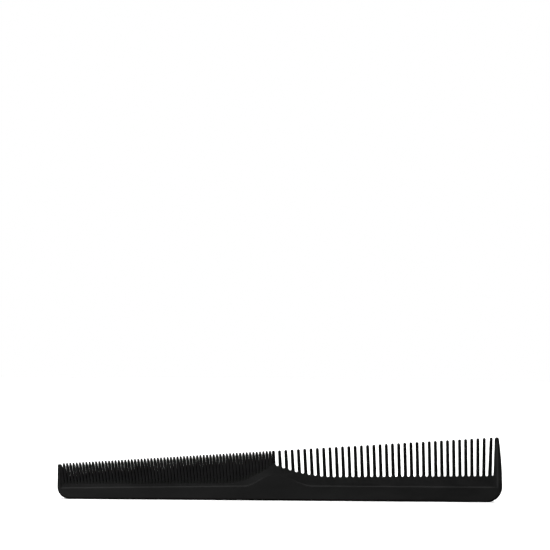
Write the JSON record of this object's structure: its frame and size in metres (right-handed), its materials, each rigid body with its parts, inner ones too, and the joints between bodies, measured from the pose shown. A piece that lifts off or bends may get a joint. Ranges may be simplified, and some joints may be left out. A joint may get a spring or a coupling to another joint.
{
  "type": "hair comb",
  "caption": "Straight cutting comb: flat spine, fine teeth at one end, wide-set round-tipped teeth at the other, a raised shoulder between them and a stout guard tooth at each end.",
  "frame": {"origin": "middle of the length and of the thickness, on the flat underside of the spine", "axes": "+X along the comb from the fine end to the coarse end, +Y through the thickness, +Z from the spine to the tooth tips"},
  "size_m": [0.18, 0.004, 0.0263],
  "materials": {
    "black_plastic": "black injection-moulded plastic with a satin sheen"
  },
  "bodies": {
    "root": {"spine": "black_plastic", "shoulder": "black_plastic", "fine_web": "black_plastic", "coarse_web": "black_plastic", "fine_teeth": "black_plastic", "coarse_teeth": "black_plastic", "centre_tooth": "black_plastic", "fine_end_guard": "black_plastic", "coarse_end_guard": "black_plastic"}
  },
  "joints": []
}
